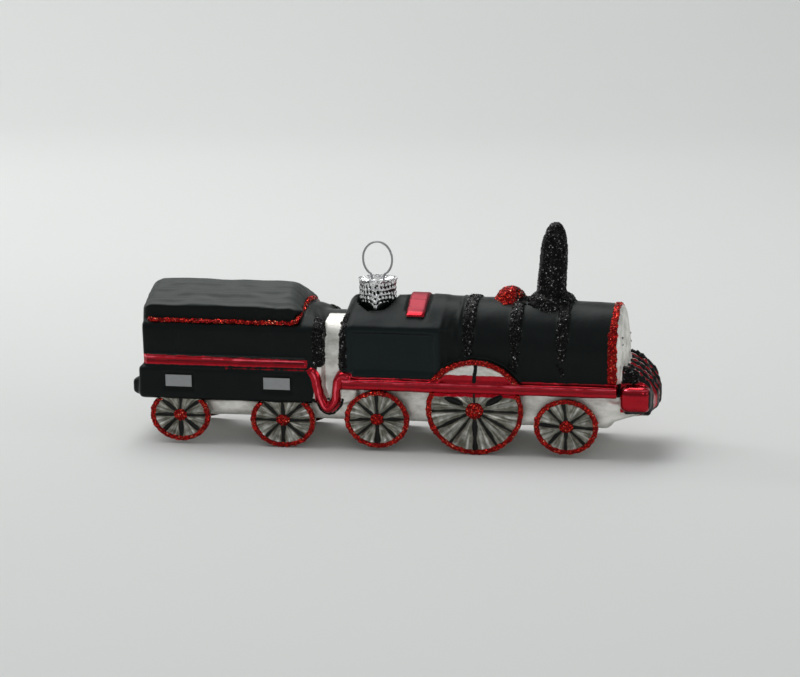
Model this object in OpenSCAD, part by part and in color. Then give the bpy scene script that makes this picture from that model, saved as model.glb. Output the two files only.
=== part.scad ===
// A mould-blown glass tree ornament in the shape of a steam locomotive with its tender.
// The glass is one hollow shell, 1 mm or so thick, silvered and lacquered. Coarse glitter is glued
// on it in beads and bands. A sheet metal cap sits on its neck and holds a sprung wire loop.
// Millimetres. +X is the engine's front, +Z is up, and Z = 0 is the foot of the moulded wheels.

/* [Body] */
// Length of the tender, over its lower skirt
tender_length = 46.5; // [40:0.5:60]
// Length of the waist between the tender's skirt and the footplate
waist_length = 7.2; // [6:0.1:10]
// Length of the engine's footplate
footplate_length = 69.6; // [64:0.2:84]
// How far the pilot reaches in front of the footplate
pilot_reach = 10.1; // [9:0.1:12]
// How far the buffer bump reaches behind the tender
bump_reach = 2.6; // [1.5:0.1:4]
// Width over the footplate and the skirt
body_width = 27; // [24:0.5:34]
// How far the underframe's side stands in from the footplate's
frame_inset = 2.7; // [2:0.1:4]
// Underside of the underframe
frame_bottom = 7; // [5:0.1:9]
// How far the waist's side stands in from the skirt's
waist_inset = 3.5; // [2.5:0.1:4.5]
// How far the waist's top lies below the tank's
waist_drop = 1.6; // [1:0.1:3]
// Radius of the waist's arched top
waist_arch = 14; // [13:0.5:18]
// Thickness of the glass
wall = 1.1; // [0.8:0.05:1.6]

/* [Tender] */
// Underside of the tender's skirt
skirt_bottom = 11.7; // [10:0.1:13]
// Top of the tender's skirt
skirt_top = 20.3; // [19:0.1:22]
// How far the tank's side stands in from the skirt's
tank_inset = 1.2; // [0.5:0.1:2]
// Height of the tank's arched top at the middle
tank_crown = 35; // [33:0.1:37]
// Radius of the tank's arched top
tank_arch = 18; // [16.5:0.5:24]
// How far the tank reaches forward of the skirt
tank_overhang = 2.1; // [0.5:0.1:3]
// How far the tank's back stands in from the skirt's
tank_back_inset = 1.5; // [0.5:0.1:3]
// Height of the coal's crown
coal_crown = 40.8; // [38:0.1:43]
// Radius of the coal's arched top
coal_arch = 14.5; // [13:0.5:20]
// How far the coal's side stands in from the tank's
coal_inset = 1.5; // [0.8:0.1:3]
// Length of the coal
coal_length = 43; // [38:0.5:46]
// Radius of the coal's ends, seen from the side
coal_end_round = 5; // [3:0.5:6.5]
// Radius of each bead of the painted stripe
stripe_bead = 0.75; // [0.4:0.05:1]
// Height of the stripe's lower bead over the skirt
stripe_rise = 0.7; // [0.4:0.1:2]
// Distance between the stripe's two beads
stripe_pitch = 1.6; // [1.2:0.1:2.5]
// Rear wheel's place in front of the tender's back
rear_wheel_in = 11; // [9:0.1:13]
// Front wheel's place behind the tender's front
front_wheel_in = 8.3; // [8:0.1:11]

/* [Engine] */
// Underside of the footplate
footplate_bottom = 15.7; // [14.5:0.1:17]
// Thickness of the footplate
footplate_thick = 2.7; // [2:0.1:3.5]
// Radius of each of the two beads along the footplate's side
plate_bead = 0.75; // [0.5:0.05:0.9]
// Radius of the boiler
boiler_radius = 11.3; // [10:0.1:12]
// Height of the boiler's top
boiler_top = 38; // [36:0.1:40]
// Length of the cab
cab_length = 25.6; // [22:0.2:28]
// How far the cab's back stands in front of the footplate's
cab_gap = 0; // [0:0.1:2]
// How far the cab's side stands in from the footplate's
cab_inset = 1.4; // [0.8:0.1:3]
// Radius of the cab roof's arch
roof_arch = 14.7; // [13:0.1:20]
// Height of the moulded strip over the roof
strip_height = 1.0; // [0.5:0.1:1.5]
// Width of that strip
strip_width = 5.4; // [3:0.1:8]
// Distance from the strip to the cab's front
strip_gap = 5; // [3:0.1:7]
// First boiler band's place in front of the cab
first_band = 6.6; // [5:0.1:8]
// Distance from one boiler band to the next
band_pitch = 11.8; // [10:0.1:12]
// How far the smokebox front bulges
front_bulge = 1.9; // [1:0.1:3]
// Height of the pilot's top
pilot_top = 23.2; // [22:0.1:24]
// Radius of the pilot's rounded tip
tip_round = 3.6; // [3:0.1:4]
// Height of the middle of that tip
tip_middle = 14.2; // [13.8:0.1:15]
// Height of the pilot's ridges
ridge_height = 0.55; // [0.3:0.05:0.9]
// Number of ridges on the pilot
ridge_count = 5; // [4:1:8]
// Width of the beam block at each side of the pilot
beam_width = 5.2; // [4:0.1:6]
// How far the pilot reaches in behind each beam block
beam_lap = 1.8; // [1.5:0.1:2.5]

/* [Wheels] */
// Radius of the tender's wheels
tender_wheel_r = 7.8; // [7:0.1:8.4]
// Radius of the trailing and leading wheels
small_wheel_r = 8.1; // [7:0.1:8.4]
// Radius of the driving wheels
driver_r = 12; // [11:0.1:13]
// Trailing wheel's place in front of the footplate's back
trailing_wheel_in = 9; // [8.5:0.1:11]
// Driving wheel's place in front of the footplate's back
driver_in = 34; // [32:0.1:36]
// Leading wheel's place behind the footplate's front
leading_wheel_in = 12.5; // [10:0.1:13]
// How far the wheel faces stand in from the footplate's side
face_inset = 0.3; // [0.2:0.05:0.6]
// Radius of the splasher over each driving wheel
splasher_r = 14; // [13.5:0.1:15]
// How far the splasher's middle lies below the driving wheel's
splasher_drop = 1.4; // [0.5:0.1:2]
// How far each wheel's swelling reaches in from its face
swell_depth = 7; // [6:0.5:9]
// How much that swelling narrows over its depth
swell_taper = 5.5; // [3:0.5:6]
// Depth of the dish between rim and hub
wheel_dish = 0.5; // [0.3:0.05:0.8]
// Width of the moulded rim
rim_width = 1.4; // [1:0.1:2]
// Radius of the hub on a small wheel
hub_r = 1.8; // [1.4:0.1:2.4]
// Radius of the hub on a driving wheel
driver_hub_r = 2.3; // [1.8:0.1:3]
// Width of a spoke
spoke_width = 0.9; // [0.5:0.1:1.4]

/* [Chimney and dome] */
// Height of the chimney's drawn tip, glitter included
chimney_top = 57.6; // [52:0.2:64]
// Radius of the chimney
chimney_r = 3.1; // [2.4:0.1:4]
// Length of the chimney's rounded tip
tip_length = 8.5; // [5:0.1:11]
// How far the chimney's foot flares out at the boiler's top
foot_flare = 1.9; // [1:0.1:2.4]
// Chimney's place behind the front band
chimney_in = 3.7; // [3.4:0.1:4.2]
// Radius of the steam dome
dome_r = 3.6; // [3:0.1:4.5]
// Dome's place behind the middle band
dome_in = 2.6; // [2:0.1:3.2]

/* [Neck, cap and wire] */
// Radius of the glass neck
neck_r = 4.5; // [4:0.1:5]
// Height of the neck's rim
neck_top = 41.6; // [40.5:0.1:43]
// Neck's place in front of the cab's back
neck_in = 7.05; // [6.5:0.05:8]
// Radius of the hole through the neck
neck_bore_r = 3.4; // [3:0.1:3.5]
// Thickness of the cap's sheet, with its crimps
cap_sheet = 0.45; // [0.3:0.05:0.6]
// Height of the cap
cap_height = 7.6; // [6:0.1:8.4]
// Play between the cap and the neck
cap_play = 0.15; // [0.1:0.05:0.3]
// Number of scallops round the cap's edge
scallop_count = 5; // [4:1:7]
// Direction of the first scallop round the cap, in degrees
scallop_turn = 20; // [0:5:70]
// Radius of each scallop
scallop_r = 2.1; // [1:0.1:2.2]
// Room round the cap in its seat in the roof
seat_play = 0.5; // [0.3:0.05:0.8]
// Radius of the hanger's wire
wire_r = 0.28; // [0.2:0.02:0.4]
// Play round the wire in the cap's holes
wire_play = 0.2; // [0.15:0.05:0.3]
// Distance between the wire's two legs
leg_gap = 3; // [2.4:0.1:3.4]
// Width of the wire's loop, over the wire
loop_width = 8.1; // [7:0.1:10]
// Height of the wire's loop, over the wire
loop_height = 9.5; // [8:0.1:12]
// Height of the loop's lowest point over the cap's top
loop_gap = 0.1; // [0:0.05:1]
// How far the wire's legs reach below the cap's top
leg_length = 7.5; // [6:0.1:9]
// How far each leg springs outward
leg_spread = 0.9; // [0.4:0.1:1.2]

/* [Glitter] */
// Thickness of a glitter coat
glitter = 0.4; // [0.25:0.05:0.6]
// Width of a band round the boiler
band_width = 3; // [2:0.1:4]
// Width of the ring round the smokebox
ring_width = 2.6; // [2:0.1:3.5]
// Width of the bands at the tender's front and the cab's back
corner_band = 2.5; // [1.5:0.1:3]
// Height of the button of glitter on a hub
hub_button = 0.9; // [0.5:0.05:1.2]
// Thickness of the bead of glitter round the coal
coal_bead = 1.1; // [0.6:0.05:1.4]

/* [Plates] */
// Length of a blank plate
plate_length = 6.9; // [5:0.1:9]
// Height of a blank plate
plate_height = 3; // [2:0.1:4]
// Thickness of a blank plate
plate_thick = 0.2; // [0.15:0.05:0.4]
// Lower edge of a blank plate
plate_edge = 15.2; // [14:0.1:16]
// Rear plate's place in front of the tender's back
rear_plate_in = 11; // [8:0.1:14]
// Front plate's place behind the tender's front
front_plate_in = 9.6; // [7:0.1:12]

/* [Hidden] */
$fn = 96;

// Places along the length, from the back
total_length = bump_reach + tender_length + waist_length + footplate_length + pilot_reach;
tender_back = -total_length / 2 + bump_reach;
tender_front = tender_back + tender_length;
footplate_back = tender_front + waist_length;
footplate_front = footplate_back + footplate_length;
nose = footplate_front + pilot_reach;

// Half widths
half = body_width / 2;
tank_half = half - tank_inset;
coal_half = tank_half - coal_inset;
cab_half = half - cab_inset;
frame_half = half - frame_inset;
waist_half = half - waist_inset;
face_y = half - face_inset;       // face of the moulded wheels
pilot_half = half - beam_width + beam_lap;

// Heights
footplate_top = footplate_bottom + footplate_thick;
boiler_axis = boiler_top - boiler_radius;
roof_axis = boiler_top - roof_arch;
tank_axis = tank_crown - tank_arch;
coal_axis = coal_crown - coal_arch;
frame_top = footplate_bottom + 1;
waist_crown = tank_crown - waist_drop;

// Tender
tank_back = tender_back + tank_back_inset;
tank_front = tender_front + tank_overhang;
coal_back = tank_back - 0.3;
coal_front = coal_back + coal_length;

// Engine
cab_back = footplate_back + cab_gap;
cab_front = cab_back + cab_length;
ring_front = footplate_front;
ring_back = ring_front - ring_width;
bands = [for (i = [0:2]) cab_front + first_band + i * band_pitch];
dome_x = bands[1] - dome_in;
chimney_x = bands[2] - chimney_in;
neck_x = cab_back + neck_in;
ridge_pitch = 2 * pilot_half / (ridge_count - 0.5);

// Wheels: place along X, radius, hub radius, spokes
wheels = [[tender_back + rear_wheel_in, tender_wheel_r, hub_r, 8],
          [tender_front - front_wheel_in, tender_wheel_r, hub_r, 8],
          [footplate_back + trailing_wheel_in, small_wheel_r, hub_r, 8],
          [footplate_back + driver_in, driver_r, driver_hub_r, 12],
          [footplate_front - leading_wheel_in, small_wheel_r, hub_r, 8]];
splasher_x = wheels[3][0];
splasher_z = driver_r - splasher_drop;

// Cap and wire
cap_top = neck_top + 0.1 + cap_sheet;
cap_bottom = cap_top - cap_height;
cap_r = neck_r + cap_play + cap_sheet;
seat_r = cap_r + seat_play;       // round seat in the roof, clear of the cap
seat_z = cap_bottom - seat_play;

// Chimney
tip = chimney_top - glitter;
tip_start = tip - tip_length;

// A section in Y and Z, drawn from x0 to x1
module along_x(x0, x1) {
  translate([x0, 0, 0]) rotate([90, 0, 90]) linear_extrude(x1 - x0) children();
}

// An outline in X and Z, drawn from y0 to y1
module along_y(y0, y1) {
  translate([0, y1, 0]) rotate([90, 0, 0]) linear_extrude(y1 - y0) children();
}

// A rectangle with round corners
module round_rect(x0, x1, y0, y1, r) {
  translate([x0 + r, y0]) square([x1 - x0 - 2 * r, y1 - y0]);
  translate([x0, y0 + r]) square([x1 - x0, y1 - y0 - 2 * r]);
  for (x = [x0 + r, x1 - r], y = [y0 + r, y1 - r]) translate([x, y]) circle(r, $fn = 48);
}

// A section with straight sides and an arched top
module arch(half_width, z0, axis, r) {
  intersection() {
    translate([-half_width, z0]) square([2 * half_width, axis + r - z0]);
    union() {
      translate([0, axis]) circle(r);
      translate([-r, z0]) square([2 * r, max(axis - z0, 0.01)]);
    }
  }
}

// Every form below is drawn s smaller all round: 0 for the outside of the glass, the wall's
// thickness for its inside, and less than 0 for a coat on top of it.

module skirt(s) {
  translate([0, 0, skirt_bottom + s]) linear_extrude(skirt_top - skirt_bottom - 2 * s)
    round_rect(tender_back + s, tender_front - s, s - half, half - s, 2 - min(s, 1));
}

module bump(s) {
  intersection() {
    translate([tender_back + 3, 0, skirt_bottom + 2.6])
      rotate([90, 0, 0]) cylinder(r = bump_reach + 3 - s, h = 2 * (half - 3 - s), center = true);
    translate([tender_back - 4, -half, skirt_bottom + s]) cube([10, body_width, 6 - 2 * s]);
  }
}

module tank(s, back = tank_back, front = tank_front, z0 = skirt_bottom + 1) {
  intersection() {
    along_x(back + s, front - s) arch(tank_half - s, z0 + s, tank_axis, tank_arch - s);
    translate([0, 0, z0]) linear_extrude(tank_crown)
      round_rect(tank_back + s, tank_front - s, s - tank_half, tank_half - s, 2 - min(s, 1));
  }
}

module coal(s) {
  intersection() {
    along_x(coal_back + s, coal_front - s) arch(coal_half - s, skirt_top, coal_axis, coal_arch - s);
    along_y(-half, half)
      round_rect(coal_back + s, coal_front - s, skirt_top, coal_crown - s, coal_end_round - s);
    translate([0, 0, skirt_top]) linear_extrude(coal_crown)
      round_rect(coal_back + s, coal_front - s, s - coal_half, coal_half - s, 4 - s);
  }
}

module waist(s) {
  along_x(tender_front - 4, cab_back + 4)
    arch(waist_half - s, frame_bottom + s, waist_crown - waist_arch, waist_arch - s);
}

module underframe(s) {
  along_x(tender_back + 3 + s, footplate_front - 1 - s)
    translate([s - frame_half, frame_bottom + s])
      square([2 * (frame_half - s), frame_top - frame_bottom]);
}

// The drop-shaped drawbar between the two vehicles, one web across the whole width
module drawbar(s) {
  x = tender_front;
  along_y(s - half + 1, half - 1 - s)
    polygon([[x - 2.5, skirt_top - s], [x + 0.9 - s, skirt_top - s], [x + 1.7 - s, 16.5 - s],
             [x + 3.5, 13 - s], [x + 5.3 + s, 15.4 - s], [x + 5.8 + s, 18.6 - s],
             [x + 7.4 + s, 20 - s], [x + 11, 19.4 - s], [x + 11, 12 + s], [x + 5.6, 11.4 + s],
             [x + 3.4, 9.8 + s], [x + 0.6, 11.6 + s], [x - 2.5, skirt_bottom + s]]);
}

module footplate(s) {
  translate([footplate_back, s + 0.3 - half, footplate_bottom + s])
    cube([footplate_length, 2 * (half - 0.3 - s), footplate_thick - 2 * s]);
}

module cab(s, rise = 0) {
  along_x(cab_back + s, cab_front - s)
    arch(cab_half - s, footplate_top - 1 + s, roof_axis, roof_arch - s + rise);
}

module cab_form(s) {
  intersection() {
    cab(s);
    along_y(-half, half)
      polygon([[cab_back - 3, skirt_bottom], [cab_front, skirt_bottom], [cab_front, boiler_top],
               [cab_back + 4.2, boiler_top - s], [cab_back + 1.6 + s, boiler_top - 1.4],
               [cab_back - 0.6 + s, boiler_top - 5]]);
  }
}

module boiler(s, x0 = cab_front - 4, x1 = ring_front) {
  along_x(x0, x1) arch(boiler_radius - s, footplate_top - 1 + s, boiler_axis, boiler_radius - s);
}

// The bulged front of the smokebox
module smokebox_front(s) {
  drop = 2;                       // the bulge's middle lies this much below the boiler's
  bulge_r = (pow(boiler_radius + drop, 2) + pow(front_bulge, 2)) / (2 * front_bulge);
  intersection() {
    along_x(ring_front - 6, nose) arch(boiler_radius - 0.3 - s, footplate_bottom, boiler_axis,
                                       boiler_radius - 0.3 - s);
    translate([ring_front + front_bulge - bulge_r, 0, boiler_axis - drop])
      sphere(bulge_r - s);
  }
}

// A wheel swells from the underframe's side and narrows inward
module wheel_swelling(w, s) {
  for (side = [-1, 1]) translate([w[0], side * (face_y - wheel_dish - s), w[1]])
    rotate([90 * side, 0, 0])
      cylinder(r1 = w[1] - s, r2 = w[1] - swell_taper - s, h = swell_depth - 2 * s);
}

// Rim and spokes that stand out from the wheel's face, at both sides
module wheel_relief(w) {
  for (side = [-1, 1]) translate([w[0], side * (face_y - wheel_dish), w[1]])
    rotate([-90 * side, 0, 0]) {
      rotate_extrude() translate([w[1] - rim_width, 0]) square([rim_width, wheel_dish]);
      cylinder(r = w[2], h = wheel_dish);
      for (a = [0:360 / w[3]:359]) rotate(a)
        translate([0, -spoke_width / 2, 0]) cube([w[1] - rim_width / 2, spoke_width, wheel_dish]);
    }
}

module splasher(s) {
  intersection() {
    translate([splasher_x, 0, splasher_z]) rotate([90, 0, 0])
      cylinder(r = splasher_r - s, h = 2 * (face_y - s), center = true);
    translate([splasher_x - 20, -half, footplate_bottom + s]) cube([40, body_width, 20]);
  }
}

// The pilot seen from the side: a round-nosed slope under the smokebox's front
module pilot_side(s) {
  hull() {
    translate([footplate_front - 0.5, pilot_top - 3]) circle(3 - s);
    translate([footplate_front + 1.5, tip_middle - tip_round + 2]) circle(2 - s);
    translate([nose - tip_round, tip_middle]) circle(tip_round - s);
  }
}

module pilot(s) {
  intersection() {
    union() {
      along_y(s - pilot_half, pilot_half - s) pilot_side(ridge_height + s);
      if (s == 0) for (i = [0:ridge_count - 1]) ridge(i);
    }
    translate([nose - 24, 0, 0]) cylinder(r = 24 - s, h = 30);
  }
}

module ridge(i, grow = 0) {
  y = (i - (ridge_count - 1) / 2) * ridge_pitch;
  along_y(y - ridge_pitch / 4, y + ridge_pitch / 4) pilot_side(-grow);
}

module beam(s) {
  for (side = [-1, 1]) translate([0, side * (half - beam_width / 2 - 0.1), 0])
    along_y(s - beam_width / 2, beam_width / 2 - s)
      round_rect(footplate_front - 1 + s, footplate_front + 8.9 - s, 11.9 + s, 18.6 - s, 2.5 - s);
}

module chin(s) {
  x = footplate_front;
  along_y(s - frame_half, frame_half - s)
    polygon([[x - 8, frame_bottom + s], [x - 2.6, 8.6 + s], [x + 5.4 - s, 11 + s],
             [x + 5.4 - s, 14], [x - 8, 14]]);
}

// The chimney's lathe outline: a flared foot, a barrel and a drawn, rounded tip
function chimney_at(z) =
  z < tip_start ? chimney_r + foot_flare * exp((boiler_top - z) / 1.3)
                : chimney_r * sqrt(max(0, 1 - pow((z - tip_start) / (tip - tip_start), 2)));
foot_steps = [for (i = [0:8]) boiler_top - 0.6 + i * 0.8];
tip_steps = [for (i = [0:10]) tip_start + (tip - tip_start) * sin(i * 9)];

module chimney(s) {
  translate([chimney_x, 0, 0]) rotate_extrude() difference() {
    polygon(concat([[0, boiler_axis]], [[chimney_at(foot_steps[0]) - s, boiler_axis]],
                   [for (z = foot_steps) [chimney_at(z) - s, z]],
                   [for (z = tip_steps) if (z < tip) [max(chimney_at(z) - s, 0.05), z]],
                   [[0, tip - s]]));
    translate([-20, 0]) square([20, 90]);
  }
}

module dome(s) {
  translate([dome_x, 0, boiler_top - 0.9]) sphere(dome_r - s);
}

// The whole of the glass, s smaller all round
module glass_forms(s) {
  skirt(s);
  bump(s);
  tank(s);
  coal(s);
  waist(s);
  underframe(s);
  drawbar(s);
  footplate(s);
  cab_form(s);
  boiler(s);
  smokebox_front(s);
  for (w = wheels) wheel_swelling(w, s);
  splasher(s);
  pilot(s);
  beam(s);
  chin(s);
  chimney(s);
  dome(s);
}

module stripe_beads() {
  for (side = [-1, 1], z = [skirt_top + stripe_rise, skirt_top + stripe_rise + stripe_pitch])
    translate([tank_back + 2, side * tank_half, z]) rotate([0, 90, 0])
      cylinder(r = stripe_bead, h = tank_front - tank_back - 6);
}

module footplate_beads() {
  for (side = [-1, 1], z = [footplate_bottom + plate_bead, footplate_top - plate_bead])
    translate([footplate_back, side * (half - plate_bead), z]) rotate([0, 90, 0])
      cylinder(r = plate_bead, h = footplate_length);
}

module roof_strip() {
  intersection() {
    translate([cab_front - strip_gap - strip_width, -half, boiler_top - 3.6])
      cube([strip_width, body_width, 9]);
    cab(0, strip_height);
  }
}

module glass_body() {
  color("#1c1f20") difference() {
    union() {
      difference() {
        union() {
          glass_forms(0);
          stripe_beads();
          footplate_beads();
          roof_strip();
          for (w = wheels) wheel_relief(w);
        }
        translate([neck_x, 0, seat_z]) cylinder(r = seat_r, h = 12);
      }
      translate([neck_x, 0, seat_z - 2]) cylinder(r = neck_r, h = neck_top - seat_z + 2);
    }
    difference() {
      glass_forms(wall);
      translate([neck_x, 0, seat_z - wall]) cylinder(r = seat_r + wall, h = 12);
    }
    translate([neck_x, 0, boiler_axis]) cylinder(r = neck_bore_r, h = 30);
  }
}

// Glitter coats

module coal_edge_glitter() {
  color("#c8281c") difference() {
    intersection() {
      tank(-coal_bead, z0 = skirt_top);
      translate([0, 0, skirt_top + 6]) linear_extrude(coal_crown)
        round_rect(coal_back + 1, coal_front + 0.7, -coal_half - 0.7, coal_half + 0.7, 4);
    }
    tank(0);
    coal(0);
  }
}

module corner_coat(x0, x1, z1) {
  translate([x0, -half, skirt_top + 1.5]) cube([x1 - x0, body_width, z1 - skirt_top - 1.5]);
}

module tender_front_glitter() {
  color("#121212") difference() {
    intersection() {
      along_x(tank_front - corner_band, tank_front - 0.2)
        arch(tank_half + glitter, skirt_top, tank_axis, tank_arch + glitter);
      corner_coat(tank_front - corner_band, tank_front, waist_crown - 0.4);
      translate([0, 0, skirt_top]) linear_extrude(coal_crown)
        round_rect(tank_back, tank_front + glitter, -tank_half - glitter, tank_half + glitter, 2);
    }
    tank(0);
    waist(0);
    translate([0, 0, skirt_top]) along_x(tank_front - 8, tank_front + 1)
      translate([-7, 0]) square([14, 40]);
  }
}

module cab_rear_glitter() {
  color("#121212") difference() {
    intersection() {
      along_x(cab_back + 0.2, cab_back + corner_band)
        arch(cab_half + glitter, footplate_top + 2, roof_axis, roof_arch + glitter);
      corner_coat(cab_back, cab_back + corner_band, waist_crown - 0.4);
    }
    cab(0);
    translate([cab_back - 1, -7, footplate_top]) cube([8, 14, 40]);
  }
}

module boiler_band_glitter() {
  color("#121212") for (x = bands) difference() {
    boiler(-glitter, x - band_width / 2, x + band_width / 2);
    boiler(0, x - band_width, x + band_width);
    translate([x - band_width, -half, footplate_bottom])
      cube([2 * band_width, body_width, footplate_thick]);
    splasher(-0.1);
    dome(-glitter);
    chimney(-glitter);
  }
}

module smokebox_ring_glitter() {
  color("#c8281c") difference() {
    boiler(-glitter, ring_back, ring_front);
    boiler(0, ring_back - 1, ring_front + 1);
    translate([ring_back - 1, -half, footplate_bottom])
      cube([2 * ring_width, body_width, footplate_thick]);
    beam(0);
    pilot(0);
  }
}

module dome_glitter() {
  color("#c8281c") difference() {
    dome(-glitter);
    dome(0);
    boiler(0);
  }
}

module chimney_glitter() {
  color("#121212") difference() {
    chimney(-glitter);
    chimney(0);
    boiler(0);
  }
}

module splasher_glitter() {
  color("#c8281c") for (side = [-1, 1]) intersection() {
    translate([splasher_x, side * face_y, splasher_z]) rotate([-90 * side, 0, 0])
      rotate_extrude() translate([splasher_r - rim_width, 0]) square([rim_width, glitter]);
    translate([splasher_x - 20, -half - 1, footplate_top]) cube([40, body_width + 2, 20]);
  }
}

// Rings on the wheels, each cut off where the skirt or the footplate covers the wheel
module wheel_rim_glitter() {
  color("#c8281c") for (w = wheels, side = [-1, 1]) {
    lid = w[0] < tender_front ? skirt_bottom : footplate_bottom;
    intersection() {
      translate([w[0], side * face_y, w[1]]) rotate([-90 * side, 0, 0])
        rotate_extrude() translate([w[1] - rim_width, 0]) square([rim_width, glitter]);
      translate([w[0] - 20, -half - 1, 0]) cube([40, body_width + 2, lid]);
    }
  }
}

module wheel_hub_glitter() {
  color("#c8281c") for (w = wheels, side = [-1, 1])
    translate([w[0], side * face_y, w[1]]) rotate([-90 * side, 0, 0])
      cylinder(r1 = w[2], r2 = w[2] * 0.6, h = hub_button);
}

module pilot_glitter() {
  color("#121212") for (i = [0, ridge_count - 1]) difference() {
    intersection() {
      ridge(i, glitter);
      translate([ring_front + front_bulge + 0.2, -half, 19]) cube([3.6, body_width, 8]);
      translate([nose - 24, 0, 0]) cylinder(r = 24, h = 30);
    }
    ridge(i);
    beam(0);
    smokebox_front(0);
  }
}

module side_plates() {
  places = [tender_back + rear_plate_in, tender_front - front_plate_in];
  color("#a9abad") for (side = [-1, 1], x = places)
    translate([x - plate_length / 2, side * (half + plate_thick / 2) - plate_thick / 2, plate_edge])
      cube([plate_length, plate_thick, plate_height]);
}

// Cap and wire

module ornament_cap() {
  color("#c9cccf") translate([neck_x, 0, 0]) difference() {
    translate([0, 0, cap_bottom]) cylinder(r = cap_r, h = cap_height);
    translate([0, 0, cap_bottom - 1])
      cylinder(r = cap_r - cap_sheet, h = cap_height - cap_sheet + 1);
    for (x = [-leg_gap / 2, leg_gap / 2]) translate([x, 0, cap_top - 2])
      cylinder(r = wire_r + wire_play, h = 4, $fn = 32);
    for (i = [0:scallop_count - 1]) rotate(scallop_turn + i * 360 / scallop_count)
      translate([cap_r - 2, 0, cap_bottom - 0.2]) rotate([0, 90, 0])
        cylinder(r = scallop_r, h = 4);
  }
}

// The wire's middle line in X and Z: up one leg, round the loop, down the other
loop_z = cap_top + loop_gap + loop_height / 2;
loop_rx = loop_width / 2 - wire_r;
loop_rz = loop_height / 2 - wire_r;
loop_start = asin(leg_gap / 2 / loop_rx);
loop_steps = 44;
function leg(side) = [[side * (leg_gap / 2 + leg_spread), cap_top - leg_length],
                      [side * leg_gap / 2, cap_top - 2.5],
                      [side * leg_gap / 2, cap_top + 0.35]];
right_leg = leg(1);
wire_line = concat(leg(-1),
  [for (i = [0:loop_steps]) let (a = -90 - loop_start - i * (360 - 2 * loop_start) / loop_steps)
    [loop_rx * cos(a), loop_z + loop_rz * sin(a)]],
  [right_leg[2], right_leg[1], right_leg[0]]);

function unit(v) = v / norm(v);
function wire_dir(p, i) = unit(
  (i == 0 ? [0, 0] : unit(p[i] - p[i - 1])) + (i == len(p) - 1 ? [0, 0] : unit(p[i + 1] - p[i])));

module hanger_wire() {
  sides = 12;
  n = len(wire_line);
  points = [for (i = [0:n - 1]) let (d = wire_dir(wire_line, i)) for (k = [0:sides - 1])
    let (a = k * 360 / sides)
    [wire_line[i][0] - d[1] * wire_r * cos(a), wire_r * sin(a),
     wire_line[i][1] + d[0] * wire_r * cos(a)]];
  rings = [for (i = [0:n - 2], k = [0:sides - 1]) let (m = (k + 1) % sides)
    [i * sides + k, (i + 1) * sides + k, (i + 1) * sides + m, i * sides + m]];
  ends = [[for (k = [0:sides - 1]) k], [for (k = [sides - 1:-1:0]) (n - 1) * sides + k]];
  color("#8d9094") translate([neck_x, 0, 0]) polyhedron(points, concat(rings, ends));
}

glass_body();
coal_edge_glitter();
tender_front_glitter();
cab_rear_glitter();
boiler_band_glitter();
smokebox_ring_glitter();
dome_glitter();
chimney_glitter();
splasher_glitter();
wheel_rim_glitter();
wheel_hub_glitter();
pilot_glitter();
side_plates();
ornament_cap();
hanger_wire();
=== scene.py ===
from functools import reduce
from math import cos, pi, radians, sin, sqrt, tau

import bpy
import numpy as np
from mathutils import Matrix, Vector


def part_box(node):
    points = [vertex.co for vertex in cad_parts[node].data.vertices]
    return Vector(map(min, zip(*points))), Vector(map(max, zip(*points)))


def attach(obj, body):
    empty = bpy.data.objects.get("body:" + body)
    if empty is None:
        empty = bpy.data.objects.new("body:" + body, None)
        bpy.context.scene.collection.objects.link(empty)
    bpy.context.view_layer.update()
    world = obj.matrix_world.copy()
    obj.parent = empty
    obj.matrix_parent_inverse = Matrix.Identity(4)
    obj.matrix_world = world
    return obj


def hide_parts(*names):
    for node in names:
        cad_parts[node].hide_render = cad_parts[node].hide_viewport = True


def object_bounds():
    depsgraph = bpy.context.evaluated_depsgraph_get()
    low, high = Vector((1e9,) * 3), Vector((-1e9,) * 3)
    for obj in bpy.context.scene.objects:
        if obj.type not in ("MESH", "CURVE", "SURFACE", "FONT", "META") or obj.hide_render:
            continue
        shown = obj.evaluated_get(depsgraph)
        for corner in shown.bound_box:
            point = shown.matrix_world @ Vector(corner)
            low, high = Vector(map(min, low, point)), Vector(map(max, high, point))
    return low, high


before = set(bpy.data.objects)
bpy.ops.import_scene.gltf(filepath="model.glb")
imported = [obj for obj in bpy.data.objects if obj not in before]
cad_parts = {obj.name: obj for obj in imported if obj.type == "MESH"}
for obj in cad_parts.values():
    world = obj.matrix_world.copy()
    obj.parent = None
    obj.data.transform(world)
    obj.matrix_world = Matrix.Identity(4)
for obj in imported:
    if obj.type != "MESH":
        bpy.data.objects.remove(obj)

import openvdb
from mathutils import Matrix, Vector

cad_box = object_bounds()
mm = 0.001


# ---------------------------------------------------------------------------------------------
# The glass: one shell, blown into a two-part mould, so every edge is soft and every face a little
# wavy. It is silvered inside and painted outside: satin black, matt silver and clear candy red.
# ---------------------------------------------------------------------------------------------

def place(node):
    """Lowest and highest corner of a CAD node, in millimetres."""
    low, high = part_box(node)
    return Vector(low) / mm, Vector(high) / mm


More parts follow.
